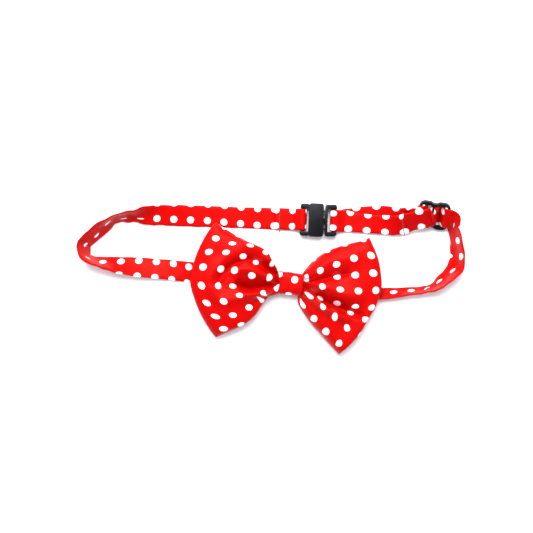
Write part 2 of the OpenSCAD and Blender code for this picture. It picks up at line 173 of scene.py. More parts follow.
def between(before, here, there, after, f):
    """The share f of the way from one control point to the next, on a smooth curve through all four."""
    return (here + 0.5 * f * (there - before + f * (2 * before - 5 * here + 4 * there - after
            + f * (3 * (here - there) + after - before))))


def spline(points, where):
    """Points on a smooth curve through the control points; where counts them from 0."""
    points = np.asarray(points, float)
    last = len(points) - 1
    i = np.clip(np.floor(where).astype(int), 0, last - 1)
    f = (np.asarray(where) - i).reshape([-1] + [1] * (points.ndim - 1))
    return between(*(points[np.clip(i + k, 0, last)] for k in (-1, 0, 1, 2)), f)


def sewn_sheet(name, steps, place, thick, rounds=1, closed=False, cloth_of=(satin, "satin")):
    """A sheet of cloth with a wall: place gives each point's spot and cloth coordinates, in mm, from its
    shares along and across. A closed sheet's ends are joined."""
    bm = bmesh.new()
    bmesh.ops.create_grid(bm, x_segments=steps[0], y_segments=steps[1], size=0.5)
    bm.verts.index_update()
    flat = np.array([(v.co.x, v.co.y) for v in bm.verts]) + 0.5
    spots, cloth = place(flat[:, 0], flat[:, 1])
    layer = bm.loops.layers.uv.new("cloth")
    for v in bm.verts:
        v.co = Vector(spots[v.index]) * MM
    for face in bm.faces:
        face.smooth = True
        for corner in face.loops:
            corner[layer].uv = cloth[corner.vert.index]
    if closed:
        bmesh.ops.remove_doubles(bm, verts=bm.verts, dist=1e-6)
    return finish_cloth(name, bm, thick, rounds, cloth_of)


def finish_cloth(name, bm, thick, rounds, cloth_of):
    """Turns a bmesh sheet into a piece with a wall and rounded edges, with its modifiers applied."""
    mesh = bpy.data.meshes.new(name)
    bm.to_mesh(mesh)
    bm.free()
    piece = bpy.data.objects.new(name, mesh)
    bpy.context.collection.objects.link(piece)
    wall = piece.modifiers.new("wall", "SOLIDIFY")
    wall.thickness = thick * MM
    wall.offset = 0
    if rounds:
        round_over = piece.modifiers.new("round", "SUBSURF")
        round_over.levels = round_over.render_levels = rounds
    bpy.context.view_layer.update()
    finished = bpy.data.meshes.new_from_object(piece.evaluated_get(bpy.context.evaluated_depsgraph_get()))
    piece.modifiers.clear()
    piece.data = finished
    finished.name = name
    finished.materials.clear()
    finished.materials.append(cloth_of[0])
    return piece


# ---- Neck strap ----
# A satin strip sewn into a flat tube 11 mm wide and pressed. It lies flat behind the buckle and the bow,
# and stands half on edge round both ends, where it is creased and puckered.
strap_w = 11.0
strap_t = 1.1
# Every plan place is moved by this much, which centres the whole tie on the frame
centre = Vector((0.25, -0.1))
# Just under half the dots' pitch: a row of dots lies within this of the strap's middle, and cloth that
# a fold squeezes never reaches the next row
row_limit = 4.2
# Plan places and turns, in degrees, of what the strap passes
buckle_at, buckle_turn = (23.1, 28.6), -2
bow_at, bow_turn = (9.5, -3.0), -6.5
slider_at, slider_turn = (80.2, 31), -8


def lying(x, y, lean, lift=0.0, share=1.0, cup=0.0):
    """A station on the table: its lower edge rests there, and its outer edge is raised by the lean."""
    tilt = math.radians(lean)
    z = lift + share * strap_w / 2 * math.sin(tilt) + strap_t / 2 * math.cos(tilt)
    return [x, y, z, lean, share, cup]


def held(x, y, z, lean, share=1.0, cup=0.0):
    """A station that hardware holds up."""
    return [x, y, z, lean, share, cup]


def turned(at, degrees):
    """A function that turns a local plan place and moves it to where that frame lies."""
    c, s = math.cos(math.radians(degrees)), math.sin(math.radians(degrees))
    return lambda x, y=0.0: (at[0] + x * c - y * s, at[1] + x * s + y * c)


from_buckle = turned(buckle_at, buckle_turn)
from_bow = turned(bow_at, bow_turn)
from_slider = turned(slider_at, slider_turn)


def in_tie(plan, z):
    """Plan places as built, moved with the whole tie, at their heights."""
    return np.stack([plan[0] + centre.x, plan[1] + centre.y, z], -1)


def path_of(stations):
    """Sampled stations along a smooth path, with the distance run and the station count at each sample."""
    count = np.linspace(0, len(stations) - 1, 1200)
    rough = spline(stations, count)
    steps = np.linalg.norm(np.diff(rough[:, :3], axis=0), axis=1)
    return rough, np.concatenate([[0], np.cumsum(steps)]), count


def evenly(first_dot, pitch):
    """A print whose dots are evenly spaced from a first one; each pair is along and across the strap."""
    return lambda s, width: np.stack([(s - first_dot[0]) * DOT_PITCH / pitch[0],
                                      (width - first_dot[1]) * DOT_PITCH / pitch[1]], 1)


def through(stations, dots):
    """A print that passes through dots of one row, each given by its plan place, its number and its
    squeeze, which is above 1 where a lengthwise fold swallows part of the dot."""
    rough, run, _ = path_of(stations)
    ahead = np.gradient(rough[:, :2], axis=0)
    ahead /= np.linalg.norm(ahead, axis=1)[:, None]
    knots = []
    for x, y, number, squeeze in dots:
        gap = np.array([x, y]) - centre - rough[:, :2]
        k = np.linalg.norm(gap, axis=1).argmin()
        across = (gap[k, 0] * ahead[k, 1] - gap[k, 1] * ahead[k, 0]) / math.cos(math.radians(rough[k, 3]))
        knots.append((run[k], number * DOT_PITCH, max(-row_limit, min(row_limit, across)), squeeze))
    knots = np.array(knots)
    # Beyond the first and the last dot the print runs on unstretched
    knots = np.vstack([knots[0] - (20, 20, 0, 0), knots, knots[-1] + (40, 40, 0, 0)])

    def cloth_at(s, width):
        i = np.searchsorted(knots[:, 0], s).clip(1, len(knots) - 1) - 1
        # Each dot keeps its squeeze nearly up to half-way to the next one
        f = (((s - knots[i, 0]) / (knots[i + 1, 0] - knots[i, 0]) - 0.3) / 0.4).clip(0, 1)
        squeeze = knots[i, 3] * (1 - f) + knots[i + 1, 3] * f
        off = width - np.interp(s, knots[:, 0], knots[:, 2])
        off = np.where(squeeze > 1.05, np.clip(off * squeeze, -row_limit, row_limit), off)
        return np.stack([np.interp(s, knots[:, 0], knots[:, 1]), off], 1)

    return cloth_at


def strap(name, stations, cloth_at, part=None, thick=1.0):
    """A stretch of strap along its stations, or along the part between two of them, with lapped ends."""
    rough, run, count = path_of(stations)
    first, last = np.interp(part or (0, len(stations) - 1), count, run)
    lap = 0.5
    steps = max(4, int((last - first) / 0.8))

    def place(a, b):
        s = (first - lap) + a * (last - first + 2 * lap)
        # Beyond both ends the path runs straight on
        over = s - np.clip(s, 0, run[-1])
        where = np.interp(s, run, count) + over * (count[1] / run[1])
        here = spline(stations, where)
        ahead = spline(stations, where + 0.02) - spline(stations, where - 0.02)
        h = ahead[:, :2] / np.linalg.norm(ahead[:, :2], axis=1)[:, None]
        tilt = np.radians(here[:, 3])
        across = np.stack([h[:, 1] * np.cos(tilt), -h[:, 0] * np.cos(tilt), np.sin(tilt)], 1)
        up = np.stack([-h[:, 1] * np.sin(tilt), h[:, 0] * np.sin(tilt), np.cos(tilt)], 1)
        side = 2 * b - 1
        # The pressed tube puckers more where it is cupped round a bend
        pucker = 0.18 + 0.5 * np.clip(here[:, 5], 0, 1)
        ripple = np.array([noise.noise(Vector((u * 0.24, v * 0.9, 3.0))) for u, v in zip(s, side)])
        edge = np.array([noise.noise(Vector((u * 0.22, 8.0 + np.sign(v), 0))) for u, v in zip(s, side)])
        half = here[:, 4] * strap_w / 2 * (1 + 0.22 * pucker * edge)
        rise = here[:, 5] * (np.abs(side) ** 1.4 - 0.35) + pucker * ripple
        spots = here[:, :3] + across * (side * half)[:, None] + up * rise[:, None]
        spots[:, 2] = np.maximum(spots[:, 2], strap_t / 2)
        spots[:, :2] += np.array(centre)
        return spots, cloth_at(s, side * strap_w / 2)

    return sewn_sheet(name, (steps, 8), place, thick)


def folded(name, path, local, first_dot, pitch=(DOT_PITCH, DOT_PITCH)):
    """Strap that follows a path in side view, through a buckle or a slider; local places its points.
    first_dot is a dot's distance from the path's far end, and its place across."""
    rough = spline(path, np.linspace(0, len(path) - 1, 500))
    run = np.concatenate([[0], np.cumsum(np.linalg.norm(np.diff(rough, axis=0), axis=1))])
    length = run[-1]

    def place(a, b):
        here = spline(path, np.interp(a * length, run, np.linspace(0, len(path) - 1, 500)))
        side = (2 * b - 1) * strap_w / 2
        cloth = np.stack([(length - a * length - first_dot[0]) * DOT_PITCH / pitch[0],
                          (side - first_dot[1]) * DOT_PITCH / pitch[1]], 1)
        return local(here[:, 0], side, here[:, 1]), cloth

    return sewn_sheet(name, (int(length / 0.5), 8), place, 1.0)


socket_bar = -7.8
fold_back = 21.6
back_stations = [
    lying(*from_buckle(-fold_back), 0), lying(*from_buckle(-32), 0, 0, 0.97),
    lying(*from_buckle(-43), 0, 0, 0.97), lying(-32, 30.5, 2, 0, 0.98), lying(-42, 30.8, 3, 0, 0.98),
    lying(-50, 31.0, 6, 0, 0.97), lying(-58, 31.2, 12, 0, 0.94, 0.4),
]
left_stations = [
    lying(-64, 31.2, 35, 0, 0.94, 0.9), lying(-68, 31.1, 55, 0, 0.95, 1.3), lying(-72, 30.9, 62, 0, 1, 1.4),
    lying(-76.5, 30.2, 70, 0, 1, 1.3), lying(-80, 28.5, 71, 0, 1, 0.9), lying(-84.5, 25, 55, 0, 1, 0.4),
    lying(-90.5, 19.8, 55, 0, 1, 0.2), lying(-93.3, 17.1, 58), lying(-93.8, 15.9, 56),
    lying(-93.3, 12.4, 60), lying(-92.7, 10.8, 64), lying(-91.9, 9.8, 68), lying(-88.8, 8.2, 68, 0, 1, 0.3),
    lying(-85, 7.5, 60, 0, 1, 0.5), lying(-80.5, 6.6, 50, 0, 1, 0.5), lying(-73.5, 5.8, 36, 0, 1, 0.3),
]
front_stations = [
    lying(-66.5, 5.2, 26), lying(-60, 4.6, 18, 0, 0.96), lying(-54, 4.1, 12, 0, 0.94),
    lying(*from_bow(-50), 0, 0, 0.94), lying(*from_bow(-37), 0, 0, 0.9),
    lying(*from_bow(-16), 0, 1.0, 0.8), lying(*from_bow(0), 0, 1.0, 0.8), lying(*from_bow(16), 0, 1.0, 0.8),
    lying(39, -6.3, 6, 0.2, 0.76), lying(47, -7.2, 20, 0, 0.7), lying(54.5, -8, 32, 0, 0.64),
    lying(62, -7.7, 42, 0, 0.6, 0.3), lying(70, -6.9, 56, 0, 0.6, 0.4),
]
right_stations = [
    lying(76, -6.3, 65, 0, 0.65, 0.7), lying(81, -5.2, 64, 0, 0.8, 0.9), lying(84.6, -2.3, 57, 0, 0.95, 1.0),
    lying(88.6, 1.2, 54, 0, 1, 0.9), lying(91.5, 5.3, 46, 0, 1, 0.8), lying(92.6, 10.5, 54, 0, 1, 0.7),
    lying(91.9, 17, 60, 0, 1, 0.6),
]
# The slider leans back, with its lower side near the table
slider_lean = 33
slider_z = 5.89


def in_slider(x, y, z):
    """A place in the slider's frame, as one in the tie's frame."""
    c, s = math.cos(math.radians(slider_lean)), math.sin(math.radians(slider_lean))
    return in_tie(from_slider(x, y * c - z * s), slider_z + y * s + z * c)


def on_slider(x, y, z):
    """A strap station in the slider's frame."""
    spot = in_slider(x, y, z)
    return held(spot[0] - centre.x, spot[1] - centre.y, spot[2], slider_lean)


over_bar = 1.7
entry = on_slider(8.3, 0, over_bar)
to_slider_stations = [
    lying(91.3, 22, 64, 0, 0.95, 0.6), lying(90.0, 25, 60, 0, 0.84, 0.5),
    held(entry[0] + 2.0, entry[1] - 2.0, entry[2] - 1.0, 46, 0.78), on_slider(9.6, 0, over_bar), entry,
]
loop_stations = back_stations + left_stations + front_stations + right_stations + to_slider_stations
# Some dots of the row along the strap's inner side, with their numbers from the socket's fold
loop_print = through(loop_stations, [
    (-7.2, 25.9, 1, 1), (-32.1, 28.25, 4, 1), (-57.15, 29.35, 7, 1), (-65.4, 29.2, 8, 60),
    (-73.6, 29.5, 9, 60), (-81.85, 27.3, 10, 2.6), (-87.25, 20.9, 11, 2.8), (-93, 16.45, 12, 1.7),
    (-91.5, 9.2, 13, 60), (-84.05, 7.5, 14, 1), (-75, 7.65, 15, 1), (-66.2, 8.15, 16, 1),
    (-57.6, 7.85, 17, 1), (-49.2, 7.05, 18, 1), (-41.2, 5.3, 19, 1), (60.85, -7.5, 31, 1),
    (69.75, -6.85, 32, 1), (77.5, -5.6, 33, 60), (83.55, -2.25, 34, 3), (90.25, 3.35, 35, 2.5),
    (94.7, 10.25, 36, 1), (92.75, 18.3, 37, 1), (90.9, 25.9, 38, 60),
])
joined_at = len(loop_stations) - len(to_slider_stations) - 1
neck_strap = strap("neck_strap", loop_stations, loop_print, (0, joined_at))
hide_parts("strap_back", "strap_left_end", "strap_front", "strap_right_end")
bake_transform(neck_strap)
strap_to_slider = strap("strap_to_slider", loop_stations, loop_print, (joined_at, len(loop_stations) - 1))
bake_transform(strap_to_slider)

# ---- Strap ends at the buckle ----
# Each end passes round a bar of the buckle and back over itself. The socket's end is sewn down flat with a
# row of dark red stitches, and the plug's end runs on as the doubled stretch.
bar_z = 2.8
wrap_r = 1.55
fold_leg = 5.5
lower_leg_z = 0.55
upper_leg_z = 1.8


def in_buckle(x, y, z):
    """A place in the buckle's frame, as one in the tie's frame."""
    return in_tie(from_buckle(x, y), z)


def wrapped(bar_x, side, reach=fold_leg):
    """A side-view path along the lower leg, round the bar and back along the upper leg."""
    arc = [(bar_x + side * -wrap_r * math.cos(math.radians(t)), bar_z + wrap_r * math.sin(math.radians(t)))
           for t in range(-90, 91, 30)]
    lower = [(bar_x + side * k, lower_leg_z) for k in (fold_leg, 3.6)]
    upper = [(bar_x + side * k, z)
             for k, z in ((1.6, bar_z + wrap_r - 0.55), (3.4, 2.6), (fold_leg, upper_leg_z))]
    path = lower + arc + upper
    if reach > fold_leg:
        return [(bar_x + side * reach, lower_leg_z)] + path + [(bar_x + side * reach, upper_leg_z)]
    return path


strap_socket_fold = folded("strap_socket_fold", wrapped(socket_bar, -1, fold_back + socket_bar), in_buckle,
                           (8.8, -3.5), (8.4, 7.8))
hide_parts("strap_socket_fold")
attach(strap_socket_fold, "strap")
plug_bar = 7.8
strap_plug_fold = folded("strap_plug_fold", wrapped(plug_bar, 1), in_buckle, (6.7, -3.5), (8.5, 7.1))
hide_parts("strap_plug_fold")
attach(strap_plug_fold, "plug")

# ---- Doubled stretch and slider ----
# From the plug the strap runs under itself to the slider, weaves over its end bar, under its middle and over
# the other end bar; the upper run ends in a loop that is sewn round the slider's middle bar.
exit_spot = on_slider(-9, 0, over_bar)
under_stations = [
    lying(*from_buckle(13.3, 0.8), 0), lying(*from_buckle(16.3, 1.1), 0), lying(46, 30.1, 0),
    lying(54, 30.4, 4), held(60, 30.0, 2.1, 14),
    held(exit_spot[0] - 6.7, exit_spot[1] - 1.7, exit_spot[2] - 3.6, 25),
    held(exit_spot[0] - 3.2, exit_spot[1] - 0.8, exit_spot[2] - 1.8, 31), on_slider(-10.2, 0, over_bar),
    exit_spot,
]


def mirrored(stations):
    """Stations that run the other way, towards the slider, lean to the other side."""
    return [[x, y, z, -lean, share, cup] for x, y, z, lean, share, cup in stations]


under_stations = mirrored(under_stations)
strap_under_run = strap("strap_under_run", under_stations, evenly((6.5, -5.3), (9.4, 8.5)))
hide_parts("strap_under_run")
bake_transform(strap_under_run)

# The upper run goes on, doubled by its own sewn end, to the loop round the slider's middle bar
leg_z = 3.38
# Where the seam that closes the loop lies, and how far it leans there
seam_at, seam_z, seam_lean = (65, 26.4), 4.9, 26
top_stations = [
    lying(*from_buckle(13.3), 0, 1.25), lying(*from_buckle(16.3, -0.3), 0, 1.25, 0.93),
    lying(46, 27.0, 0, 1.3, 0.87), held(52, 26.5, 2.5, 4, 0.86), held(56, 26.2, 2.9, 9, 0.88),
    held(60, 26.0, 3.5, 16, 0.92), held(62.5, 26.2, 4.1, 21, 0.96),
    held(*seam_at, seam_z, seam_lean),
    on_slider(-11, -3.6, leg_z), on_slider(-7.5, -1.8, leg_z), on_slider(-5.3, -1.1, leg_z),
    on_slider(-3.5, -0.6, leg_z - 0.4), on_slider(-0.4, 0, 1.98),
]
top_stations = mirrored(top_stations)
top_print = evenly((2.1, 3.9), (9.1, 8.9))
strap_top_run = strap("strap_top_run", top_stations, top_print, (0, 6))
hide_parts("strap_top_run")
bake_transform(strap_top_run)
slider_loop_leg = strap("slider_loop_leg", top_stations, top_print, (6, 12), 1.6)
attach(slider_loop_leg, "slider")

threaded = [(9.2, 1.62), (8.0, 1.7), (6.6, 1.7), (5.2, 1.3), (4.2, -1.2), (3.0, -2.9), (0, -3.0),
            (-3.0, -2.9), (-4.2, -1.2), (-5.2, 1.3), (-6.6, 1.7), (-9, 1.7)]
strap_threaded_run = folded("strap_threaded_run", threaded, in_slider, (1.0, 3.0))
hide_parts("strap_threaded_run")
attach(strap_threaded_run, "slider")

ring = [(1.65 * math.cos(math.radians(t)), 1.65 * math.sin(math.radians(t))) for t in range(100, -201, -25)]
slider_loop = folded("slider_loop", ring, in_slider, (1.0, 3.0))
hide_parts("slider_loop")
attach(slider_loop, "slider")

# ---- Bow ----
# One satin panel 102 mm long and 62 mm wide is gathered at its middle over an interlining and a plain back
# panel, and turned in at its sides. The gathers spread into the wings as soft folds round a padded middle.
waist_half = 6.3
waist_z = 2.7
wing_left = 43.5
wing_right = 38.5
dome_rise = 5.2
padding = 1.7
# Cloth coordinates of the lengthwise and the crosswise lines that set the gathers
lengthwise = [28.5, 20.9, 12.4, 3.9, -4.6, -13.1, -21.6, -30.1, -33.7]
crosswise = [0, 5, 13.5, 22, 30.5, 39, 47.5, 52, 60.8, 64.5, 73, 81.5, 90, 98.5, 101.8]
# Where each lengthwise line runs in plan, from the left side fold over the waist to the right side fold
gathers = [
    [(-40.7, 26.0), (-36.3, 23.5), (-29.2, 20.3), (-21.9, 17.6), (-15.0, 15.0), (-10.7, 10.3),
     (-7.2, 5.9), (-3.5, 3.9), (3.5, 3.9), (6.9, 8.6), (10.2, 13.0), (16.3, 18.0), (24.4, 22.0),
     (33.4, 25.3), (35.9, 27.0)],
    [(-44.3, 19.9), (-39.6, 18.0), (-31.2, 16.4), (-22.3, 16.6), (-14.3, 13.8), (-10.4, 9.0),
     (-6.8, 4.3), (-3.5, 2.7), (3.5, 2.3), (7.0, 3.6), (13.5, 8.2), (21.2, 12.0), (29.4, 16.0),
     (37.6, 18.4), (41.0, 18.0)],
    [(-47.4, 12.0), (-42.2, 11.0), (-33.8, 11.9), (-25.2, 10.9), (-18.7, 8.4), (-12.0, 6.2), (-6.5, 3.0),
     (-3.5, 1.7), (3.5, 1.3), (8.0, 2.0), (14.2, 4.2), (22.2, 5.7), (30.9, 7.8), (39.6, 9.8), (43.6, 9.6)],
    [(-49.3, 3.6), (-44.3, 3.3), (-35.5, 3.3), (-28.6, 3.4), (-19.8, 2.0), (-11.0, 1.9), (-6.0, 1.2),
     (-3.5, 0.7), (3.5, 0.3), (8.6, 0.4), (15.4, 0.3), (24.3, -0.1), (33.3, 0.2), (42.0, 1.5),
     (44.6, 1.4)],
    [(-49.7, -5.0), (-43.9, -6.0), (-35.8, -5.2), (-28.7, -4.6), (-20.0, -4.2), (-13.0, -3.0),
     (-6.0, -0.9), (-3.5, -0.3), (3.5, -0.6), (8.8, -2.0), (15.1, -5.2), (23.7, -7.0), (32.8, -7.6),
     (40.9, -7.3), (42.6, -7.0)],
    [(-46.7, -12.9), (-40.4, -14.3), (-32.2, -12.4), (-24.7, -8.5), (-18.5, -6.6), (-13.4, -6.4),
     (-7.0, -2.7), (-3.5, -1.3), (3.5, -1.6), (9.3, -3.4), (15.9, -7.4), (23.4, -9.6), (30.9, -11.0),
     (38.5, -13.4), (39.9, -12.9)],
    [(-42.6, -20.4), (-35.3, -20.3), (-26.9, -18.8), (-19.4, -13.9), (-13.4, -9.8), (-10.5, -7.3),
     (-6.6, -4.4), (-3.5, -2.5), (3.5, -2.7), (10.1, -5.0), (16.8, -9.4), (23.2, -13.8), (29.7, -18.5),
     (35.0, -21.0), (36.8, -20.6)],
    [(-37.5, -27.2), (-30.6, -25.9), (-22.4, -22.8), (-16.6, -17.6), (-13.4, -11.9), (-10.9, -7.9),
     (-6.4, -5.6), (-3.5, -3.6), (3.5, -3.6), (7.0, -9.9), (13.3, -15.8), (19.8, -21.5), (26.9, -26.6),
     (30.4, -28.4), (31.4, -27.9)],
    [(-34.1, -30.6), (-29.8, -28.1), (-22.5, -23.6), (-17.1, -18.5), (-13.6, -12.6), (-11.1, -8.2),
     (-6.4, -6.0), (-3.5, -4.1), (3.5, -4.1), (5.0, -9.7), (10.9, -17.2), (17.3, -23.1), (24.0, -29.1),
     (26.6, -31.3), (27.6, -32.1)],
]
# Where folds swallow cloth, a crosswise line shows other cloth rows than the even ones above
tucked = {
    3: [28.5, 20.9, 12.4, 3.9, -4.6, -13.1, -21.6, -26.5, -28.0],
    4: [28.5, 20.9, 12.4, 3.9, -1.4, -1.9, -4.6, -9.2, -10.0],
    5: [23.0, 20.9, 17.5, 12.4, 7.8, 3.9, 1.4, 0.2, -0.4],
    6: [-4.3, -6.1, -7.4, -9.2, -11.3, -13.1, -14.8, -16.0, -16.4],
    9: [25.9, 20.9, 19.3, 17.7, 15.6, 14.8, 12.4, 3.9, 0.5],
    10: [28.5, 20.9, 16.9, 12.4, 4.4, -0.4, -4.6, -13.1, -16.0],
    11: [28.5, 20.9, 12.4, 3.9, -4.6, -9.0, -13.1, -21.6, -24.7],
}
# Each fold: how far it rises (or dips), how wide it is to the left and to the right of its line, and the
# line in plan, from the knot outwards
folds = [
    (1.5, 3.0, 3.0, [(-8.7, -3.6), (-23.9, -9.6), (-34.9, -11.2), (-40.1, -3.4), (-37.3, 3.2), (-31.5, 8.7),
                     (-25.2, 12.2)]),
    (-4.8, 1.3, 3.4, [(-6.6, 2.8), (-13.8, 5.4), (-20.3, 9.2), (-25.9, 7.5), (-31.1, 4.6), (-34.4, -0.5),
                      (-35.5, -6.5)]),
    (1.8, 2.8, 2.8, [(-7.2, 0.7), (-19.6, 4.4), (-27.6, 4.6), (-30.7, 1.0)]),
    (-6.4, 1.1, 3.2, [(-6.9, -1.9), (-16.6, -4.6), (-22.5, -4.9), (-28.1, -2.9)]),
    (2.4, 2.2, 2.2, [(-7.0, 6.0), (-11.0, 9.5), (-16.0, 13.0)]),
    (1.6, 2.0, 2.0, [(-7.0, -3.4), (-12.5, -5.6), (-19.5, -7.4), (-26.0, -7.6)]),
    (-2.0, 1.4, 1.4, [(-8.0, -4.9), (-12.5, -8.6), (-17.5, -11.2)]),
    (-7.4, 3.2, 0.9, [(6.1, -2.1), (14.8, -6.5), (21.6, -9.0), (29.2, -11.0), (38.1, -12.9)]),
    (2.6, 1.7, 1.7, [(7.4, -3.9), (15.8, -9.0), (23.5, -12.6), (31.0, -15.2)]),
    (1.7, 3.3, 3.3, [(6.6, 0.0), (14.7, 0.8), (26.6, -2.4), (36.9, -2.6)]),
    (-3.6, 2.6, 1.6, [(6.9, 1.6), (15.7, 4.0), (23.5, 7.0), (29.0, 8.0)]),
    (1.3, 4.0, 4.0, [(9.3, 5.6), (18.2, 13.5), (32.8, 16.1)]),
]


def fold_relief(x, y):
    """The rise or dip of all the folds at plan places, each with a rounded profile and soft far end."""
    relief = np.zeros_like(x)
    for rise, left, right, curve in folds:
        path = spline(curve, np.linspace(0, len(curve) - 1, 60))
        ahead = np.gradient(path, axis=0)
        gap = np.stack([x[:, None] - path[None, :, 0], y[:, None] - path[None, :, 1]], 2)
        far = np.linalg.norm(gap, axis=2)
        nearest = far.argmin(1)
        gap = gap[np.arange(len(x)), nearest]
        ahead = ahead[nearest]
        side = (ahead[:, 0] * gap[:, 1] - ahead[:, 1] * gap[:, 0]) / np.linalg.norm(ahead, axis=1)
        width = left + (right - left) / (1 + np.exp(side / 0.25))
        fade = np.clip((59 - nearest) / 18, 0, 1) ** 0.7
        relief += rise * fade * np.exp(-(far.min(1) / width) ** (2.0 if rise > 0 else 1.4))
    return relief


def back_height(x):
    """The back panel lifts a little from the strap towards the sides, sooner at the right."""
    out = np.clip((np.abs(x) - waist_half) / 42, 0, 1)
    return waist_z + np.where(x < 0, 3.4 * out ** 2, 4.0 * out ** 1.7)


def edge_roll(d, radius):
    """0 at an edge and 1 past the radius, along a quarter circle."""
    return np.sqrt(1 - (1 - np.clip(d / radius, 0, 1)) ** 2)


def gathered(a, b, inset=0.0):
    """Plan place and cloth coordinates of the gathered panel: a is the share along it and b across it, and
    an inset leaves out that share at every edge."""
    a = inset + a * (1 - 2 * inset)
    b = inset + b * (1 - 2 * inset)
    columns = len(crosswise) - 1
    rows = len(lengthwise) - 1
    net = np.array([[(*spot, crosswise[c], lengthwise[r]) for c, spot in enumerate(line)]
                    for r, line in enumerate(gathers)])
    near = np.floor(a * columns).clip(0, columns - 1).astype(int)
    out = np.zeros((len(a), 4))
    for c in range(columns):
        chosen = near == c
        if not chosen.any():
            continue
        run = a[chosen] * columns
        stack = np.stack([spline(line, run) for line in net])
        where = (1 - b[chosen]) * rows
        i = np.floor(where).astype(int).clip(0, rows - 1)
        f = (where - i)[:, None]
        pick = np.arange(len(where))
        out[chosen] = between(*(stack[np.clip(i + k, 0, rows), pick] for k in (-1, 0, 1, 2)), f)
    return out


def printed(a, b, s, t):
    """Cloth coordinates for the print: rows that a fold swallows are left out, half-way between columns.
    The columns beside the knot band show what their neighbours in the wings show."""
    columns = len(crosswise) - 1
    rows = len(lengthwise) - 1
    shown = np.array([tucked.get({7: 6, 8: 9}.get(c, c), lengthwise) for c in range(columns + 1)])
    c = np.floor(a * columns).clip(0, columns - 1).astype(int)
    f = ((a * columns - c - 0.3) / 0.4).clip(0, 1)
    f = f * f * (3 - 2 * f)
    where = (1 - b) * rows
    i = np.floor(where).astype(int).clip(0, rows - 1)
    row = between(*(shown[c, near] * (1 - f) + shown[c + 1, near] * f
                    for near in (np.clip(i + k, 0, rows) for k in (-1, 0, 1, 2))), where - i)
    # The lower right side fold turns under sooner
    s = s - 3.2 * np.clip((s - 91) / 6, 0, 1) * np.clip((-16 - t) / 4, 0, 1)
    return np.stack([s - 5, row - 3.9], 1)


def in_bow(x, y, z):
    """A place in the bow's frame, as one in the tie's frame."""
    return in_tie(from_bow(x, y), z)


def front_spot(a, b):
    """Where the front panel's points lie: a dome over each wing, with its folds and its turned-in edges."""
    x, y, s, t = gathered(a, b).T
    wing = np.clip((np.abs(x) - waist_half) / np.where(x < 0, wing_left, wing_right), 0, 1)
    roll = (edge_roll(s, 4.0) * edge_roll(crosswise[-1] - s, 4.0) * edge_roll(lengthwise[0] - t, 5.0)
            * edge_roll(t - lengthwise[-1], 5.0))
    # The dome is highest midway between the panel's lengthwise edges
    off_middle = (2 * t - lengthwise[0] - lengthwise[-1]) / (lengthwise[0] - lengthwise[-1])
    dome = dome_rise * np.sin(np.pi * wing ** 0.58) * (1 - 0.45 * off_middle * off_middle)
    pleats = 0.35 * np.cos(t * 0.9) * np.exp(-((np.abs(x) - 5) / 7).clip(0, 9) ** 2)
    crumple = np.array([noise.noise(Vector((p * 0.11, q * 0.11, 1.7))) for p, q in zip(x, y)])
    lift = padding + dome + fold_relief(x, y) * (0.35 + 0.65 * roll) + pleats + 0.35 * crumple
    # The deepest folds press on the interlining but never pass through it
    lift = np.where(lift < 1.4, 0.5 + 0.9 * np.exp((np.minimum(lift, 1.4) - 1.4) / 0.9), lift)
    z = back_height(x) + 0.9 + roll * lift
    return in_bow(x, y, z), printed(a, b, s, t)


bow_front_panel = sewn_sheet("bow_front_panel", (190, 120), front_spot, 0.5, 0)
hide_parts("bow_front_panel")
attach(bow_front_panel, "bow")


def back_spot(a, b):
    """Where the back panel's points lie: gathered as the front is, but nearly flat."""
    x, y, s, t = gathered(a, b).T
    return in_bow(x, y, back_height(x) + 0.3), np.stack([s - 1, t - 2], 1)


bow_back_panel = sewn_sheet("bow_back_panel", (80, 40), back_spot, 0.4, 0)
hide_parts("bow_back_panel")
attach(bow_back_panel, "bow")


def non_woven():
    # Polyester non-woven: matt off-white, with short fibres that show as a fine cloudy fleece
    fleece = new_material("non_woven_interlining")
    cloth = add(fleece, "ShaderNodeUVMap", {}, uv_map="cloth")
    fibres = add(fleece, "ShaderNodeTexNoise", {"Vector": cloth.outputs["UV"], "Scale": 1.2, "Detail": 6.0,
                                                "Distortion": 2.0})
    colour = add(fleece, "ShaderNodeMix", {"Factor": fibres.outputs["Fac"], "A": linear("#D9D3C6"),
                                           "B": linear("#F2EEE4")}, data_type="RGBA")
    relief = add(fleece, "ShaderNodeBump", {"Height": fibres.outputs["Fac"], "Strength": 0.3,
                                            "Distance": 0.0001})
    shader = add(fleece, "ShaderNodeBsdfPrincipled", {
        "Base Color": colour.outputs["Result"], "Roughness": 0.95, "Specular IOR Level": 0.2,
        "Normal": relief.outputs["Normal"]})
    add(fleece, "ShaderNodeOutputMaterial", {"Surface": shader.outputs["BSDF"]})
    return fleece


def lining_spot(a, b):
    """Where the interlining's points lie: just above the back panel, and inside its edges."""
    x, y, s, t = gathered(a, b, 0.03).T
    return in_bow(x, y, back_height(x) + 0.75), np.stack([s, t], 1)


# The interlining is cut a little smaller than the panels that hide it
bow_interlining = sewn_sheet("bow_interlining", (80, 40), lining_spot, 0.3, 0,
                             cloth_of=(non_woven(), "interlining"))
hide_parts("bow_interlining")
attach(bow_interlining, "bow")

# ---- Knot band ----
# A short strip of the same satin, folded to 12 mm, goes round the gathered waist and the strap. It is sewn
# to itself underneath, and its folded sides turn in a little.
band_half = 6.0
band_middle_z = 4.25
band_half_z = 4.2


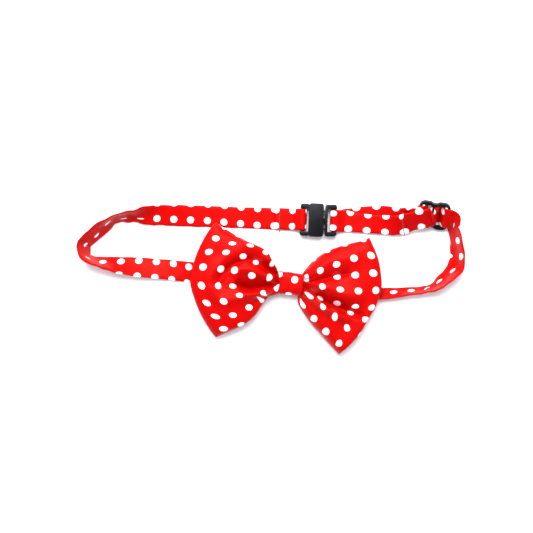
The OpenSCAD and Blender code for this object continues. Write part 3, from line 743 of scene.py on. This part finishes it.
def band_spot(a, b):
    """Where the knot band's points lie: once round, a along the strip and b across it."""
    turn = 2 * np.pi * a - np.pi / 2
    x = (2 * b - 1) * band_half
    # The band pulls askew: it is taller at its left side, and its sides lean
    half_y = 5.55 - 0.5 * b + 0.12 * np.cos(5 * np.pi * b)
    tuck = 0.55 * (1 - np.sqrt(1 - np.clip((np.abs(2 * b - 1) - 0.72) / 0.28, 0, 1) ** 2 * 0.96))
    fold = 0.28 * np.exp(-((x + 2.6) / 0.7) ** 2) + 0.22 * np.exp(-((x - 3.4) / 0.6) ** 2)
    puff = 0.3 * np.cos(np.pi * (b - 0.5)) - fold * (0.6 + 0.4 * np.sin(3 * turn + 1))
    c, d = np.cos(turn), np.sin(turn)
    y = np.sign(c) * np.abs(c) ** 0.55 * (half_y + 0.5 * puff - tuck)
    z = np.sign(d) * np.abs(d) ** 0.55 * (band_half_z + puff * (d > 0) - tuck * (d > 0))
    crumple = np.array([noise.noise(Vector((p * 0.35, q * 0.35, 5.1))) for p, q in zip(x, y)])
    z = np.maximum(band_middle_z + z + 0.25 * crumple * (d > 0.2), 0.3)
    lean = 0.12 * y
    x = x - np.where(x < 0, 1, 0.6) * lean * (0.5 - x / (2 * band_half))
    # Arc from the top's middle towards +y
    arc = y + np.sign(c) * np.clip(band_middle_z + band_half_z - z - 0.3, 0, 9)
    dx, dy = x - 1.5, arc - 2.1
    skew = math.radians(15)
    cloth = np.stack([(dx * math.cos(skew) - dy * math.sin(skew)) * DOT_PITCH / 8.2,
                      (dx * math.sin(skew) + dy * math.cos(skew)) * DOT_PITCH / 8.4], 1)
    return in_bow(x, y, z), cloth


knot_band = sewn_sheet("knot_band", (96, 26), band_spot, 0.5, 1, closed=True)
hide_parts("knot_band")
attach(knot_band, "bow")

# ---- Threads ----
# Dark red polyester thread: a seam across each sewn strap end, a short one under the knot band, and the
# gathering thread that is wound round the waist inside it. Both strap seams leave a loose tail.


def spun_thread():
    # Spun polyester: soft and fuzzy, with plies that wind round every half a millimetre or so
    spun = new_material("spun_polyester_thread")
    place = add(spun, "ShaderNodeTexCoord", {})
    plies = add(spun, "ShaderNodeTexWave", {"Vector": place.outputs["Object"], "Scale": 900.0,
                                            "Distortion": 1.0}, bands_direction="DIAGONAL")
    colour = add(spun, "ShaderNodeMix", {"Factor": plies.outputs["Fac"], "A": linear("#6A060A"),
                                         "B": linear("#98151A")}, data_type="RGBA")
    relief = add(spun, "ShaderNodeBump", {"Height": plies.outputs["Fac"], "Strength": 0.3,
                                          "Distance": 0.00005})
    shader = add(spun, "ShaderNodeBsdfPrincipled", {
        "Base Color": colour.outputs["Result"], "Roughness": 0.65, "Sheen Weight": 0.2,
        "Normal": relief.outputs["Normal"]})
    add(spun, "ShaderNodeOutputMaterial", {"Surface": shader.outputs["BSDF"]})
    return spun


thread = spun_thread()


def stitches(name, body, place, count, pitch, along=(0, 1, 0), row=(0, 1, 0)):
    """A row of stitches: each is a short round thread that dips into the cloth at both ends."""
    bm = bmesh.new()
    for i in range(count):
        made = bmesh.ops.create_uvsphere(bm, u_segments=8, v_segments=6, radius=1)["verts"]
        bmesh.ops.scale(bm, verts=made, vec=[(0.24 + 0.3 * pitch * k) * MM for k in along])
        spot = Vector(row) * (i - (count - 1) / 2) * pitch
        for v in made:
            v.co = Vector(place(*(v.co / MM + spot))) * MM
    for face in bm.faces:
        face.smooth = True
    mesh = bpy.data.meshes.new(name)
    bm.to_mesh(mesh)
    bm.free()
    piece = bpy.data.objects.new(name, mesh)
    bpy.context.collection.objects.link(piece)
    mesh.materials.append(thread)
    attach(piece, body)
    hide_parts(name)


def tail(name, body, points):
    """A loose thread end along a curve through the points."""
    data = bpy.data.curves.new(name, "CURVE")
    data.dimensions = "3D"
    data.bevel_depth = 0.16 * MM
    data.bevel_resolution = 2
    line = data.splines.new("POLY")
    smooth = spline(points, np.linspace(0, len(points) - 1, 24))
    line.points.add(len(smooth) - 1)
    for point, spot in zip(line.points, smooth):
        point.co = (*(Vector(spot) * MM), 1)
    data.use_fill_caps = True
    piece = bpy.data.objects.new(name, data)
    bpy.context.collection.objects.link(piece)
    data.materials.append(thread)
    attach(piece, body)


def at_buckle(x, y, z):
    """A place at the seam that holds the fold round the socket's bar."""
    return in_buckle(x - 19.4, y, z + 2.38)


def at_leg(x, y, z):
    """A place at the seam that holds the loop round the slider's middle bar."""
    c, s = math.cos(math.radians(seam_lean)), math.sin(math.radians(seam_lean))
    up = z + 0.95
    return in_tie(turned(seam_at, 10)(x, y * c - up * s), seam_z + y * s + up * c)


def at_band(x, y, z):
    """A place at the seam under the knot band."""
    return in_bow(x, y - 5.35, z + 2.4)


stitches("socket_stitches", "strap", at_buckle, 9, 1.15)
stitches("slider_stitches", "slider", at_leg, 8, 1.15)
stitches("band_stitches", "bow", at_band, 5, 2.0, (0, 0, 1), (1, 0, 0))
tail("socket_thread_tail", "strap", [at_buckle(0, -4.6, 0.1), at_buckle(0.1, -5.6, 0.0),
                                     at_buckle(0.2, -6.1, -1.2), at_buckle(0.0, -6.9, -2.1)])
tail("slider_thread_tail", "slider", [at_leg(0, -4.2, 0.1), at_leg(0.2, -5.4, 0.0), at_leg(0.3, -5.9, -1.0),
                                      at_leg(0.1, -6.5, -2.0)])
# The windings round the waist keep their own plain shape, which the knot band hides
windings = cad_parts["gathering_thread"]
windings.data.materials.clear()
windings.data.materials.append(thread)

# ---- Buckle and slider ----
# Black acetal side-release buckle, in four moulded pieces, and a moulded figure-of-eight slider. Their edges
# are rounded by the mould, and their faces have a fine spark-eroded grain.


def moulded_acetal():
    # Acetal: a cool black with a soft gloss, which handling makes a little uneven
    acetal = new_material("moulded_black_acetal")
    place = add(acetal, "ShaderNodeTexCoord", {})
    grain = add(acetal, "ShaderNodeTexNoise", {"Vector": place.outputs["Object"], "Scale": 4000.0,
                                               "Detail": 2.0})
    clouds = add(acetal, "ShaderNodeTexNoise", {"Vector": place.outputs["Object"], "Scale": 250.0,
                                                "Detail": 3.0})
    colour = add(acetal, "ShaderNodeMix", {"Factor": clouds.outputs["Fac"], "A": linear("#010104"),
                                           "B": linear("#06070D")}, data_type="RGBA")
    gloss = add(acetal, "ShaderNodeMapRange", {"Value": clouds.outputs["Fac"], "To Min": 0.24,
                                               "To Max": 0.38})
    relief = add(acetal, "ShaderNodeBump", {"Height": grain.outputs["Fac"], "Strength": 0.08,
                                            "Distance": 0.00003})
    shader = add(acetal, "ShaderNodeBsdfPrincipled", {
        "Base Color": colour.outputs["Result"], "Roughness": gloss.outputs["Result"], "IOR": 1.48,
        "Specular IOR Level": 0.18, "Normal": relief.outputs["Normal"]})
    add(acetal, "ShaderNodeOutputMaterial", {"Surface": shader.outputs["BSDF"]})
    return acetal


acetal = moulded_acetal()


def moulded(node, body, rounding, segments=3):
    """A copy of a node's shape with its sharp edges rounded."""
    bm = bmesh.new()
    bm.from_mesh(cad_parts[node].data)
    bmesh.ops.remove_doubles(bm, verts=bm.verts, dist=0.02 * MM)
    bmesh.ops.dissolve_limit(bm, angle_limit=math.radians(3), verts=bm.verts, edges=bm.edges)
    sharp = [e for e in bm.edges if len(e.link_faces) == 2 and e.calc_face_angle(0) > math.radians(35)]
    bmesh.ops.bevel(bm, geom=sharp, offset=rounding * MM, segments=segments, profile=0.5, affect="EDGES",
                    material=-1, clamp_overlap=True)
    for face in bm.faces:
        face.smooth = True
    mesh = bpy.data.meshes.new(node)
    bm.to_mesh(mesh)
    bm.free()
    piece = bpy.data.objects.new(node + "_moulding", mesh)
    bpy.context.collection.objects.link(piece)
    mesh.materials.append(acetal)
    mesh.set_sharp_from_angle(angle=math.radians(40))
    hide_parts(node)
    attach(piece, body)


moulded("buckle_socket", "strap", 0.35)
moulded("buckle_plug", "plug", 0.35)
moulded("prong_upper", "prong_upper", 0.25)
moulded("prong_lower", "prong_lower", 0.25)
moulded("slider", "slider", 0.6, 4)
